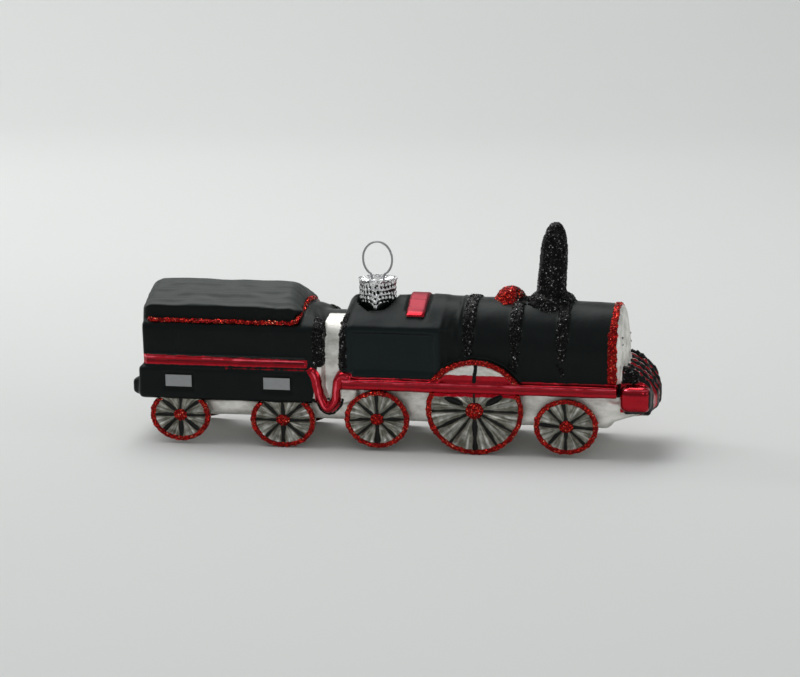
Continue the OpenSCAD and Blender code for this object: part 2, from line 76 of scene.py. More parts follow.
class Field:
    """A box of points on which a form is a number: below 0 inside it, 0 on its skin."""

    def __init__(self, low, high, step):
        self.step = step
        self.low = [v - 3 * step for v in low]
        lines = [np.arange(a, b + 3 * step, step, dtype=np.float32) for a, b in zip(self.low, high)]
        self.x, self.y, self.z = np.meshgrid(*lines, indexing="ij", sparse=True)

    def ripple(self, size, seed, waves=6):
        """Smooth lumps about size apart, from -1 to 1."""
        draw = np.random.default_rng(seed)
        total = 0
        for _ in range(waves):
            way = draw.normal(size=3)
            way *= tau / size / np.linalg.norm(way)
            total = total + np.sin(way[0] * self.x + way[1] * self.y + way[2] * self.z
                                   + draw.uniform(0, tau)).astype(np.float32)
        return total / sqrt(2 * waves)

    def full(self, form):
        """The form's value at every point of the box."""
        return np.broadcast_to(form, np.broadcast_shapes(self.x.shape, self.y.shape, self.z.shape))

    def skin(self, form):
        """Points, faces and outward directions of a form's skin."""
        form = np.ascontiguousarray(self.full(form), dtype=np.float32)
        grid = openvdb.FloatGrid(background=3 * self.step)
        grid.copyFromArray(np.clip(form, -3 * self.step, 3 * self.step))
        points, quads = grid.convertToQuads(isovalue=0)
        slopes = np.stack(np.gradient(form, self.step), -1)
        outward = sample(slopes, points)
        outward /= np.linalg.norm(outward, axis=1, keepdims=True) + 1e-9
        a, b, c = (points[quads[:, i]] for i in (0, 1, 2))
        if (np.cross(b - a, c - a) * outward[quads[:, 0]]).sum() < 0:
            quads = quads[:, ::-1]
        return points * self.step + np.array(self.low), quads, outward

    def at(self, form, points):
        """The form's value at any points."""
        return sample(self.full(form)[..., None], (points - np.array(self.low)) / self.step)[:, 0]


def sample(values, spots):
    """Values between the cells of a grid, weighted from its eight nearest cells."""
    spots = np.clip(spots, 0, np.array(values.shape[:3]) - 1.001)
    cell = spots.astype(int)
    part = spots - cell
    total = 0
    for corner in np.ndindex(2, 2, 2):
        weight = np.prod(np.where(corner, part, 1 - part), axis=1)[:, None]
        total = total + weight * values[tuple((cell + corner).T)]
    return total


def rounded(radius, *walls):
    """The space inside all the walls, with its edges rounded."""
    shifted = [w + radius for w in walls]
    outside = reduce(np.add, [np.maximum(v, 0) ** 2 for v in shifted])
    return np.sqrt(outside) + np.minimum(reduce(np.maximum, shifted), 0) - radius


def melt(radius, *forms):
    """Forms joined with a soft fillet between them."""
    joined = forms[0]
    for form in forms[1:]:
        share = np.clip(0.5 + 0.5 * (form - joined) / radius, 0, 1)
        joined = form * (1 - share) + joined * share - radius * share * (1 - share)
    return joined


def stroke(x, z, line):
    """Distance in X and Z to an open line."""
    nearest = 1e9
    for (ax, az), (bx, bz) in zip(line, line[1:]):
        ex, ez = bx - ax, bz - az
        along = np.clip(((x - ax) * ex + (z - az) * ez) / (ex * ex + ez * ez), 0, 1)
        nearest = np.minimum(nearest, np.hypot(x - ax - ex * along, z - az - ez * along))
    return nearest


def outline(x, z, corners):
    """Distance in X and Z to a closed outline, below 0 inside it."""
    closed = corners + corners[:1]
    inside = False
    for (ax, az), (bx, bz) in zip(closed, closed[1:]):
        crosses = ((z < az) != (z < bz)) & (x < ax + (bx - ax) * (z - az) / (bz - az or 1e-9))
        inside = inside ^ crosses
    far = stroke(x, z, closed)
    return np.where(inside, -far, far)


def curved(line, steps=4):
    """An open line of points made smooth."""
    line = np.array(line, dtype=float)
    spots = []
    for a in range(len(line) - 1):
        p0, p1, p2, p3 = (line[min(max(a + q, 0), len(line) - 1)] for q in (-1, 0, 1, 2))
        for t in np.arange(steps) / steps:
            spots.append(0.5 * (2 * p1 + (p2 - p0) * t + (2 * p0 - 5 * p1 + 4 * p2 - p3) * t * t
                                + (3 * p1 - p0 - 3 * p2 + p3) * t ** 3))
    return np.array(spots + [line[-1]])


def islands(node):
    """Boxes of the separate solids of a CAD node, in millimetres, from back to front."""
    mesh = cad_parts[node].data
    points = np.array([v.co for v in mesh.vertices]) / mm
    _, same = np.unique(np.round(points, 3), axis=0, return_inverse=True)
    group = same.reshape(-1).copy()
    links = np.array([e.vertices for e in mesh.edges])
    while True:
        low = np.minimum(group[links[:, 0]], group[links[:, 1]])
        best = np.full(group.max() + 1, 10 ** 9)
        np.minimum.at(best, group[links[:, 0]], low)
        np.minimum.at(best, group[links[:, 1]], low)
        new = np.minimum(best[group], group)
        if (new == group).all():
            break
        group = new
    boxes = [(points[group == g].min(0), points[group == g].max(0)) for g in np.unique(group)]
    return sorted(boxes, key=lambda b: (round(b[0][0], 1), b[0][1]))


def make_mesh(name, points, faces, fields=None, outward=None, smooth=True):
    """A mesh object from points in millimetres, kept inside the CAD model's box."""
    low, high = (np.array(c) / mm for c in cad_box)
    mesh = bpy.data.meshes.new(name)
    mesh.from_pydata(np.clip(points, low, high) * mm, [], [list(f) for f in faces] if
                     isinstance(faces, list) else faces.tolist())
    for key, values in (fields or {}).items():
        mesh.attributes.new(key, "FLOAT", "POINT").data.foreach_set(
            "value", np.asarray(values, dtype=np.float32))
    mesh.polygons.foreach_set("use_smooth", [smooth] * len(mesh.polygons))
    if outward is not None:
        mesh.normals_split_custom_set_from_vertices(outward.tolist())
    thing = bpy.data.objects.new(name, mesh)
    bpy.context.collection.objects.link(thing)
    return thing


class Wire:
    """A shader socket on which sums can be written as plain expressions."""

    def __init__(self, paint, socket):
        self.paint, self.socket = paint, socket

    def math(self, operation, *others, clamp=False):
        return self.paint.node("ShaderNodeMath", {"operation": operation, "use_clamp": clamp},
                               [self, *others])

    def __add__(self, other):
        return self.math("ADD", other)

    __radd__ = __add__

    def __sub__(self, other):
        return self.math("SUBTRACT", other)

    def __rsub__(self, other):
        return self.paint.wire(other).math("SUBTRACT", self)

    def __mul__(self, other):
        return self.math("MULTIPLY", other)

    __rmul__ = __mul__

    def __truediv__(self, other):
        return self.math("DIVIDE", other)

    def __and__(self, other):
        return self.math("MINIMUM", other)

    def __or__(self, other):
        return self.math("MAXIMUM", other)

    def above(self, edge, soft):
        """0 below the edge and 1 above it, over a soft width."""
        return ((self - edge) / soft).math("ADD", 0.5, clamp=True)


class Paint:
    """A material whose nodes are made by expressions."""

    def __init__(self, name):
        self.material = bpy.data.materials.new(name)
        self.material.use_nodes = True
        self.tree = self.material.node_tree
        self.shader = self.tree.nodes["Principled BSDF"]
        self.spot = self.node("ShaderNodeTexCoord", {}, [], "Object")

    def node(self, kind, settings, inputs, output=0):
        """A node with its settings, then the values or links of its sockets."""
        made = self.tree.nodes.new(kind)
        for key, value in settings.items():
            if key == "stops":
                while len(made.color_ramp.elements) < len(value):
                    made.color_ramp.elements.new(0.5)
                for stop, (at, colour) in zip(made.color_ramp.elements, value):
                    stop.position = at
                    stop.color = (*colour, 1)
            else:
                setattr(made, key, value)
        pairs = inputs.items() if isinstance(inputs, dict) else enumerate(inputs)
        for key, value in pairs:
            self.put(made.inputs[key], value)
        return Wire(self, made.outputs[output])

    def put(self, socket, value):
        """Link a wire to a socket, or set the socket's own value."""
        if isinstance(value, Wire):
            self.tree.links.new(value.socket, socket)
        elif hasattr(value, "__len__") and socket.type == "RGBA":
            socket.default_value = (*value, 1)
        else:
            socket.default_value = value

    def wire(self, value):
        """A number as a wire, so that a wire can be taken from it."""
        return value if isinstance(value, Wire) else self.node("ShaderNodeMath", {}, [value, 0.0])

    def noise(self, size, detail=2, rough=0.5, stretch=None, seed=0.0):
        """Noise from 0 to 1 with features about size millimetres across."""
        spot = self.spot
        if stretch:
            spot = self.node("ShaderNodeVectorMath", {"operation": "MULTIPLY"}, [spot, stretch])
        return self.node("ShaderNodeTexNoise", {"noise_dimensions": "4D"},
                         {"Vector": spot, "W": seed, "Scale": 1 / (size * mm), "Detail": detail,
                          "Roughness": rough})

    def held(self, name):
        """A number that the mesh carries on its points."""
        return self.node("ShaderNodeAttribute", {"attribute_name": name}, [], "Fac")

    def mix(self, share, low, high):
        """The low colour at share 0 and the high one at share 1."""
        return self.node("ShaderNodeMix", {"data_type": "RGBA"}, {0: share, 6: low, 7: high}, 2)

    def bump(self, height, distance, strength=1.0, under=None):
        """Relief of a height up to distance millimetres, over any relief under it."""
        inputs = {"Height": height, "Distance": distance * mm, "Strength": strength}
        if under:
            inputs["Normal"] = under
        return self.node("ShaderNodeBump", {}, inputs)

    def set(self, **sockets):
        """Give the shader's sockets their values, and return the finished material."""
        for key, value in sockets.items():
            self.put(self.shader.inputs[key.replace("_", " ")], value)
        return self.material


# The driving sizes in millimetres: from the frame, with the rest settled from those
glass_low, glass_high = place("glass_body")
half = glass_high.y
tender_back = glass_low.x + 2.6
tender_front = tender_back + 46.5
plate_back = tender_front + 7.2
plate_front = place("smokebox_ring_glitter")[1].x
nose = glass_high.x
skirt_bottom, skirt_top = 11.7, 20.3
tank_back, tank_front = tender_back + 1.1, place("tender_front_glitter")[1].x + 0.2
tank_half, tank_crown, tank_arch = half - 1.2, 35.2, 20
coal_back, coal_front = tank_back, tank_back + 41.9
coal_half, coal_crown = half - 2.7, 40.5
frame_half, frame_bottom = half - 2.7, 7
plate_low, plate_high = 15.7, 18.4
cab_back, cab_front = plate_back, plate_back + 25.6
cab_half = half - 1.4
boiler_r = place("smokebox_ring_glitter")[1].y - 0.4
boiler_top = place("smokebox_ring_glitter")[1].z - 0.4
boiler_z = boiler_top - boiler_r
hubs = [((b[0][0] + b[1][0]) / 2, (b[1][0] - b[0][0]) / 2)
        for b in islands("wheel_hub_glitter") if b[0][1] < 0]
# Each wheel came out of the mould slightly oval: half its width, half its height, its hub's height
ovals = [(8.05, 6.8, 7.5), (8.55, 7.1, 7.1), (8.4, 7.45, 8.2), (12.4, 11.3, 11.3), (8.15, 7.1, 8.0)]
wheels = []                      # place along X, height, radius, stretch in X and Z, hub radius
for (x0, hub), (wide, high, z0) in zip(hubs, ovals):
    radius = sqrt(wide * high)
    wheels.append((x0, z0, radius, wide / radius, high / radius, hub))
face_y = half - 0.3
driver_x = wheels[3][0]
arch_r, arch_z = 13.9, place("splasher_glitter")[1].z - 14
band_boxes = islands("boiler_band_glitter")
bands = sorted({round(float(b[0][0] + b[1][0]) / 2, 2) for b in band_boxes})
dome_low, dome_high = place("dome_glitter")
dome_x, dome_r = (dome_low.x + dome_high.x) / 2, dome_high.y - 0.4
chimney_low, chimney_high = place("chimney_glitter")
chimney_x, chimney_top = (chimney_low.x + chimney_high.x) / 2, chimney_high.z - 0.4
cap_low, cap_high = place("ornament_cap")
neck_x = (cap_low.x + cap_high.x) / 2
cap_r = cap_high.y
pilot_half, ridge_count = half - 3.4, 5
ridge_pitch = 2 * pilot_half / (ridge_count - 0.5)
mesh_step = 0.37

body = Field(glass_low, glass_high, mesh_step)
X, Y, Z = body.x, body.y, body.z
side = abs(Y)

# Tender: skirt, tank with its shoulders, coal with lengthwise ripples, and the rear bump
skirt_edge, sunk_deep = 1.2, 0.25
plate_long, plate_tall, plate_z = 4.5, 2.5, 16.6           # half a sunk frame's size, and its middle
skirt = rounded(skirt_edge, tender_back - X, X - tender_front, side - half, skirt_bottom - Z,
                Z - skirt_top)
for x0 in (tender_back + 11, tender_front - 9.6):          # a shallow sunk frame round each plate
    sunk = rounded(0.4, abs(X - x0) - plate_long, abs(Z - plate_z) - plate_tall, half - sunk_deep - side)
    skirt = np.maximum(skirt, -sunk)
bump_low, bump_high, bump_r = 12.1, 16.8, 5.1
buffers = rounded(1.3, np.hypot(X - tender_back - 2.7, Z - 13.8) - bump_r, side - half + 1.9,
                  bump_low - Z, Z - bump_high) - 0.25 * body.ripple(4, 33)
tank_top = np.hypot(Y, Z - tank_crown + tank_arch) - tank_arch
shoulder = ((X - coal_front - 0.2) * 3.3 + (Z - tank_crown - 1.0) * 3.8) / 5.03
tank = rounded(1.0, tank_back - X, X - tank_front, side - tank_half, skirt_bottom - Z, tank_top,
               shoulder)
coal_top = (Z - coal_crown - 1.68 + 0.56 * np.sqrt(Y ** 2 + 9)) / 1.12
sway = 0.6 * np.sin(X * 0.19 + 1) + 0.35 * np.sin(X * 0.47 + Y * 0.4)
coal_top = coal_top + 0.13 * np.sin(Y * 3.1 + sway * 2) + 0.10 * np.sin(Y * 1.7 - sway * 1.6 + 2)
coal_end = (X - coal_front + 0.35 * (Z - 35)) / 1.06
coal_side_edge, coal_end_edge, coal_corner = 0.35, 3.2, 2.5
coal = rounded(coal_side_edge, rounded(coal_end_edge, coal_back - 0.5 - X, coal_end, coal_top),
               rounded(coal_corner, coal_back - 0.5 - X, X - coal_front, side - coal_half),
               skirt_top - Z)
lumpy_end = np.clip((X - coal_front + 14) / 4, 0, 1) * (Z < 35.6)
coal = coal + 0.16 * body.ripple(2.2, 31, 8) * lumpy_end
crease_deep, crease_wide = 0.16, 0.45
for x0 in (tender_back + 10.2, tender_back + 35.2):        # two faint upright creases in its side
    tank = tank + crease_deep * np.exp(-((X - x0) / crease_wide) ** 2) * (Z < 31)
tender = melt(0.6, melt(1.0, skirt, tank), coal)
tender = melt(1.4, tender, buffers)
stripe_bead = 0.75
for z0 in (skirt_top + 0.75, skirt_top + 2.3):             # the stripe's two raised beads
    tender = melt(0.5, tender, rounded(0.3, np.hypot(side - tank_half, Z - z0) - stripe_bead,
                                       tank_back + 1 - X, X - tank_front + 4))

# Waist, drawbar and underframe
waist_r, waist_z, waist_in = 14, 19.4, 3.5
waist_top = np.where(Z > waist_z, np.hypot(Y, Z - waist_z) - waist_r, side - waist_r)
waist = rounded(1.2, tender_front - 4 - X, X - cab_back - 4, frame_bottom - Z,
                rounded(3.5, side - half + waist_in, waist_top))
x = tender_front                                          # the drawbar's points count from here
bar = outline(X, Z, [(x - 2.5, 20.3), (x + 0.9, 20.3), (x + 1.7, 16.5), (x + 3.5, 13), (x + 5.3, 15.4),
                     (x + 5.8, 18.6), (x + 7.4, 20), (x + 11, 19.4), (x + 11, 12), (x + 5.6, 11.4),
                     (x + 3.4, 9.8), (x + 0.6, 11.6), (x - 2.5, 11.7)])
bar = rounded(0.8, bar, side - half + 1.6)
bar_line = curved([(x - 6, 20.0), (x - 1.2, 20.1), (x + 0.1, 19.1), (x + 0.8, 16.5), (x + 1.5, 13),
                   (x + 3.1, 10.3), (x + 5.2, 12.3), (x + 5.6, 15.4), (x + 5.9, 17.7), (x + 6.9, 18.9),
                   (x + 8.6, 18.8)])
bar_v = bar_line[5:]                                      # without its run along the tender
bar_bead = np.hypot(stroke(X, Z, bar_v), side - half + 1.3) - 1.1
under = rounded(2.4, tender_back + 3 - X, X - plate_front + 1, side - frame_half, frame_bottom - Z,
                Z - 17)
chin = rounded(0.8, outline(X, Z, [(plate_front - 8, 7), (plate_front - 2.6, 8.6),
                                   (plate_front + 5.6, 11.1), (plate_front + 5.6, 14),
                                   (plate_front - 8, 14)]), side - frame_half)

# Engine: footplate with its two beads, cab with sunk panels, boiler, smokebox and splasher
plate = rounded(0.4, plate_back - X, X - plate_front, side - half + 0.5, plate_low - Z, Z - plate_high)
plate_bead = 0.8
for z0 in (plate_low + 0.75, plate_high - 0.75):
    plate = melt(0.35, plate, rounded(0.3, np.hypot(side - half + 0.85, Z - z0) - plate_bead,
                                      plate_back - X, X - plate_front))
roof_drop, roof_half = 6.3, 12                             # the roof falls this far over this half width
roof_fall = roof_drop * (side / roof_half) ** 1.5
roof_slope = np.sqrt(1 + (1.5 * roof_drop / roof_half * np.sqrt(side / roof_half)) ** 2)
roof = (Z - boiler_top + roof_fall) / roof_slope
cab = rounded(0.45, rounded(3.2, cab_back - 0.4 - X, roof), side - cab_half, X - cab_front,
              plate_high - 1 - Z)
panel_low, panel_high, panel_deep = 20, 30.4, 0.45
panel = rounded(0.5, cab_back + 2.2 - X, X - cab_front + 1.8, panel_low - Z, Z - panel_high,
                cab_half - panel_deep - side)
cab = np.maximum(cab, -panel)
collar = rounded(0.6, cab_front - 1 - X, X - cab_front - 1.6, roof + 0.5, side - cab_half + 0.6,
                 plate_high - 1 - Z)
strip_x, strip_wide, strip_rise, strip_low = cab_front - 7.3, 4.7, 0.7, 34.1
strip = rounded(0.35, abs(X - strip_x) - strip_wide / 2, roof - strip_rise, side - cab_half + 0.8,
                strip_low - Z)
wrinkle = 0.2
for y0 in (4.4, 7.2):                                  # two thin wrinkles across it
    strip = strip - wrinkle * np.exp(-((side - y0 - 0.15 * (X - strip_x)) / 0.3) ** 2)
sink = 0.022 * (X - cab_front)                      # the barrel falls a little towards the front
round_r = np.where(Z > boiler_z - sink, np.hypot(Y, Z - boiler_z + sink), side)
barrel = rounded(0.4, round_r - boiler_r, cab_front - 4 - X, X - plate_front, plate_high - 1 - Z)
boiler = barrel
hoops = [(b, 1.25, 0.3) for b in bands] + [(cab_front + 4.1, 0.35, 0.25)]
for x0, wide, rise in hoops:                           # where it is, half its width, how far it stands up
    boiler = melt(0.5, boiler, rounded(0.25, round_r - boiler_r - rise, abs(X - x0) - wide,
                                       plate_high - 1 - Z))
bulge_out = 1.9
bulge_r = ((boiler_r + 2) ** 2 + bulge_out ** 2) / (2 * bulge_out)
bulge = rounded(0.3, np.sqrt((X - plate_front - bulge_out + bulge_r) ** 2 + Y ** 2
                             + (Z - boiler_z + 2) ** 2) - bulge_r,
                round_r - boiler_r + 0.5, plate_low - Z, plate_front - 6 - X)
guard = rounded(0.5, np.hypot(X - driver_x, Z - arch_z) - arch_r, side - face_y, plate_low - Z)
guard_rim, guard_deep = 1.7, 0.5
guard_sink = np.maximum(np.hypot(X - driver_x, Z - arch_z) - arch_r + guard_rim,
                        face_y - guard_deep - side)
guard = np.maximum(guard, -guard_sink)
taper, taper_slope = 0.79, 1.27                          # each wheel's swelling narrows inward
swell = taper * np.maximum(face_y - 0.45 - side, 0)
drum_in, drum_deep = 1.35, 7.5                           # from the wheel's face to its two ends
drums = reduce(np.minimum, [
    rounded(0.4, (np.hypot((X - w[0]) / w[3], (Z - w[1]) / w[4]) - w[2] + 0.05 + swell) / taper_slope,
            side - face_y + drum_in, face_y - drum_deep - side) for w in wheels])
ridge_rise = 0.5
ridges = ridge_rise * np.cos(tau * Y / ridge_pitch)
ridges = ridges + 0.3 * body.ripple(1.3, 41, 8) * (ridges > 0)         # their crests are rough
x = plate_front                                          # the pilot's points count from here
wedge = outline(X, Z, [(x - 0.5, 20.8), (x + 1.7, 20.3), (x + 3.7, 19.3), (x + 6.1, 17), (x + 7.4, 14.8),
                       (x + 7.4, 13.6), (x + 6.9, 13.3), (x + 1.5, 13.2), (x - 0.5, 13.2)])
pilot_round, nose_r = 2.15, 24
pilot = rounded(0.4, wedge - pilot_round - ridges, side - pilot_half,
                np.hypot(X - nose + nose_r, Y) - nose_r)
beam = rounded(2.1, plate_front + 0.7 - X, X - plate_front - 8.4, abs(side - half + 2.7) - 2.65,
               11.9 - Z, Z - 18.6)

# Chimney with its flared foot and drawn tip, dome, and the neck in its lumpy seat
shaft_r, tip_long, foot_r = 3.35, 8.5, 5.2
tip_start = chimney_top - tip_long
tip_share = np.clip((Z - tip_start) / (chimney_top + 0.3 - tip_start), 0, 1)
chimney_at = (shaft_r - 0.045 * (Z - 42)) * np.sqrt(1 - tip_share ** 2.6)
chimney_far = np.hypot(X - chimney_x - 0.07 * (Z - 46), Y)
chimney = np.maximum(chimney_far - chimney_at, boiler_z - Z)
chimney = rounded(0.3, chimney / 1.1, Z - chimney_top)
foot = rounded(1.0, np.hypot(X - chimney_x + 0.2, Y) - foot_r, abs(Z - 37.4) - 1.4)
chimney = melt(1.6, chimney, foot)
dome = np.sqrt((X - dome_x) ** 2 + Y ** 2 + (Z - boiler_top + 0.9) ** 2) - dome_r
neck_far = np.hypot(X - neck_x, Y)
neck = rounded(0.3, neck_far - cap_r + 0.6, Z - cap_high.z + 0.55, boiler_z - Z)
seat = rounded(0.6, np.hypot(X - neck_x, Y / 1.35) - cap_r - 0.2, cap_low.z - 0.2 - Z, 2.6 - side)
lump_turn = np.arctan2(Y, X - neck_x + 0.01)
seat_lumps = np.hypot(neck_far - cap_r - 1.2, Z - cap_low.z + 0.8) - 1.1
seat_lumps = seat_lumps + 0.4 * np.sin(7 * lump_turn + 1) + 0.25 * np.sin(4 * lump_turn)
seat_hole = rounded(0.3, neck_far - cap_r - 0.3, cap_low.z - 0.35 - Z)
bore_r = 3.4
bore = np.maximum(neck_far - bore_r, boiler_z - Z)

engine = melt(1.1, melt(0.9, cab, collar), boiler)
engine = melt(0.3, engine, strip)
engine = melt(0.35, np.minimum(engine, bulge), plate)
engine = melt(0.4, engine, guard)
engine = melt(0.5, engine, melt(0.6, pilot, beam))
engine = melt(1.8, melt(0.8, engine, dome), chimney)
engine = np.maximum(melt(0.9, np.maximum(engine, -seat), seat_lumps), -seat_hole)
lower = melt(0.9, melt(0.8, under, waist), chin)
glass = melt(0.7, melt(0.6, engine, lower), tender)
glass = melt(0.6, glass, bar, bar_bead)
glass = melt(0.5, glass, drums)
glass = glass + 0.12 * body.ripple(17, 1) + 0.06 * body.ripple(6, 2)
glass = np.maximum(np.minimum(glass, neck), -bore)
glass = body.full(glass)

points, quads, outward = body.skin(glass)
px, py, pz = points.T
ps = abs(py)


def inside_all(*gaps):
    """Above 0 only where every gap is."""
    return reduce(np.minimum, gaps)


# Paint: each zone is a number above 0 inside it, held on the mesh for the lacquer to read.
# First the silver: the waist between its black borders, the underframe and the smokebox's front
below = 31 - pz
waist_silver = inside_all(px - tender_front - 1.9 + below * 0.12, plate_back - 0.9 - below * 0.04 - px,
                          pz - 9, ps - 2.6)
under_silver = np.where(px < tender_front + 1, skirt_bottom - 0.3 - pz, plate_low - 0.3 - pz)
guard_far = np.hypot(px - driver_x, pz - arch_z)
guard_silver = inside_all(arch_r - 1.5 - guard_far, ps - face_y + 0.9, pz - plate_high)
front_silver = inside_all(px - plate_front + 0.35, pz - 18.9)
guard_red = inside_all(guard_silver, plate_high + 1.9 - pz)
silver = reduce(np.maximum, [waist_silver, under_silver, guard_silver, front_silver])

# The clear red: footplate, tender stripe, drawbar, roof strip, pilot grooves and beam ends
plate_red = inside_all(pz - plate_low + 0.3, plate_high + 0.35 - pz, ps - boiler_r + 0.5,
                       px - plate_back + 0.5, plate_front + 2 - px)
along = np.clip((px - tank_back) / (tank_front - tank_back), 0, 1)
stripe_red = inside_all(pz - skirt_top - 0.4 - 0.15 * along, skirt_top + 2.85 - 0.4 * along - pz,
                        tank_front - 4 - px, ps - 6)
bar_far = stroke(px, pz, bar_v)
bar_red = inside_all(1.15 + 0.4 * np.clip((14 - pz) / 3, 0, 1) - bar_far, ps - 7.5)
smear_back = -42                                          # a broken line under the stripe
smear = inside_all(0.1 - abs(pz - skirt_top + 0.1), px - smear_back, tender_front + 1 - px, ps - 7.5)
strip_red = inside_all(strip_wide / 2 + 0.1 - abs(px - strip_x), pz - 34.2)
pilot_zone = inside_all(px - plate_front - 0.7, 24.4 - pz, pz - 10.9, pilot_half + 0.2 - ps,
                        body.at(bulge, points) - 0.35)
ridge_wave = np.cos(tau * py / ridge_pitch)
pilot_red = inside_all(pilot_zone, 0.1 - ridge_wave)
beam_red = inside_all(px - plate_front - 0.8, ps - pilot_half + 1.4, 19.4 - pz, pz - 11.7)
red = reduce(np.maximum, [plate_red, stripe_red, bar_red, smear, strip_red, pilot_red, beam_red,
                          guard_red])

# The black strokes over it
beam_line = 0.6 - abs(outline(px, pz, [(plate_front + 1, 11.9), (plate_front + 8.5, 11.9),
                                       (plate_front + 8.5, 19), (plate_front + 1, 19)]))
beam_black = inside_all(beam_line, px - plate_front - 1.8, ps - pilot_half + 1.9, 17.8 - pz)
pilot_black = inside_all(pilot_zone, ridge_wave - 0.1)
bar_black = inside_all(0.3 - abs(bar_far - 1.75), ps - 7.5, 13 - pz)
guard_stroke = inside_all(0.5 - abs(px - driver_x - 0.1 * (pz - 20)), arch_r - 1.2 - guard_far,
                          ps - face_y + 1.2, pz - plate_high)
black = reduce(np.maximum, [beam_black, pilot_black, bar_black, guard_stroke])

# Painted shade in the beads' grooves, where the lacquer also pools dark, painted highlights along their
# crests, and the other finishes
# Painted shade: a dark line in the groove between each pair of beads, where the red lacquer also pools
plate_groove = abs(pz - (plate_low + plate_high) / 2) + 9 * (ps < half - 1.2) + 9 * (px < plate_back)
stripe_groove = abs(pz - skirt_top - 1.55) + 9 * (px > tank_front - 4) + 9 * (pz > plate_low + 9)
groove = 1 - np.minimum(np.minimum(plate_groove, stripe_groove) / 0.35, 1)
cab_side = inside_all(px - cab_back - 1, cab_front - 0.6 - px, ps - cab_half + 1.2, 31.5 - pz, pz - 19)
pebbled = inside_all(6.7 - np.hypot(px - neck_x, py), 35.5 - pz)
# Painted highlights: pale lines along the crests of the footplate's and stripe's beads and along the
# drawbar
plate_crest = abs(pz - plate_high + 0.55) + 9 * (ps < half - 1.6) + 9 * (px < plate_back)
stripe_crest = abs(pz - skirt_top - 2.4 + 0.4 * along) + 9 * (px > tank_front - 4.5)
bar_crest = bar_far + 9 * (ps < 12)
crest = 1 - np.minimum(reduce(np.minimum, [plate_crest, stripe_crest, bar_crest]) / 0.4, 1)
# Painted sheen: where the coal's top faces up, the black is made lighter to stand in for the overhead
# light on it
dusty = inside_all(outward[:, 2] - 0.45, coal_front + 0.6 - px, pz - 33.5)
roof_pink = inside_all(strip_wide / 2 + 1 - abs(px - strip_x), pz - 35.2)
fields = {"silver": silver, "red": red, "black": black, "groove": groove, "cab_side": cab_side,
          "pebbled": pebbled, "dusty": dusty, "roof_pink": roof_pink, "crest": crest}


def part_of(name, keep):
    """One piece of the glass, with the faces that keep marks."""
    faces = quads[keep]
    used, faces = np.unique(faces, return_inverse=True)
    return make_mesh(name, points[used], faces.reshape(-1, 4), {k: v[used] for k, v in fields.items()},
                     outward[used])


at_tender = points[quads].mean(1)[:, 0] < tender_front + 5
tender_piece = part_of("blown_glass_tender", at_tender)
engine_piece = part_of("blown_glass_engine", ~at_tender)

enamel = Paint("lacquered_glass")
wobble = (enamel.noise(2.6, 3, 0.6) - 0.5) * 0.9 + (enamel.noise(0.7, 1) - 0.5) * 0.35
on_red = (enamel.held("red") + wobble * 0.8).above(0, 0.1)
on_silver = (enamel.held("silver") + wobble).above(0, 0.14)
on_black = (enamel.held("black") + wobble * 0.7).above(0, 0.1)
haze, on_cab = enamel.noise(7, 4, 0.6), enamel.held("cab_side").above(0, 0.8)
black_tone = enamel.mix(haze, (0.0025, 0.0045, 0.004), (0.007, 0.010, 0.0095))
black_tone = enamel.mix(on_cab, black_tone, (0.003, 0.0085, 0.010))
smudge = enamel.noise(3.2, 5, 0.65, (0.5, 1, 1)).above(0.56, 0.3)
silver_tone = enamel.mix(smudge, (0.93, 0.91, 0.87), (0.46, 0.44, 0.39))
specks = enamel.noise(1.1, 2, 0.5, seed=3).above(0.78, 0.06)
specks = specks * enamel.noise(5, 1, seed=4).above(0.5, 0.2)
silver_tone = enamel.mix(specks, silver_tone, (0.08, 0.075, 0.06))
red_tone = enamel.mix(enamel.noise(2.2, 3), (0.28, 0.0, 0.006), (0.54, 0.001, 0.015))
# Painted shade in the beads' grooves, deepened where the lacquer pools, darkens the red
red_tone = enamel.mix(enamel.held("groove") * 0.95, red_tone, (0.02, 0.0, 0.001))
# Painted highlight: the red turns pale pink along the beads' crests, broken up by noise
on_crest_highlight = enamel.held("crest")
highlight_share = on_crest_highlight + (enamel.noise(3.5, 3, 0.6, seed=6) - 0.5) * 1.6
highlight_share = highlight_share.above(0.6, 0.3) * on_crest_highlight.above(0.25, 0.3)
red_tone = enamel.mix(highlight_share, red_tone, (0.95, 0.11, 0.16))
# Painted sheen: a lighter black on the coal's upward faces
on_painted_top_sheen = enamel.held("dusty").above(0, 0.3)
black_tone = enamel.mix(on_painted_top_sheen, black_tone, (0.048, 0.055, 0.051))
on_pink = enamel.held("roof_pink").above(0, 0.5)
red_tone = enamel.mix(on_pink, red_tone, (0.30, 0.045, 0.06))
colour = enamel.mix(on_silver, black_tone, silver_tone)
colour = enamel.mix(on_red, colour, red_tone)
colour = enamel.mix(on_black, colour, (0.006, 0.007, 0.007))
shiny = on_red * (1 - on_black)
metal = on_silver * (1 - on_red) * (1 - on_black)
dark = 1 - shiny - metal
gloss = enamel.held("pebbled").above(0, 0.5) | (on_cab * 0.4)
rough = enamel.noise(4, 4, 0.6) * 0.14 + 0.34 + metal * 0.04 - shiny * 0.22 - gloss * 0.2
rough = rough + on_pink * 0.3 + on_painted_top_sheen * 0.1
skin_bump = enamel.bump(enamel.noise(1.6, 2, 0.45), 0.12, 0.5)
skin_bump = enamel.bump(on_red + on_silver * 0.3, 0.06, 0.6, skin_bump)
lacquer = enamel.set(
    Base_Color=colour, Roughness=rough, Metallic=metal * 0.7 + shiny * 0.95 + dark * (1 - on_painted_top_sheen) * 0.6,
    Normal=skin_bump, Coat_Weight=shiny * (1 - on_pink) * 0.35 + gloss * 0.3, Coat_Roughness=0.05,
    Specular_IOR_Level=0.3)
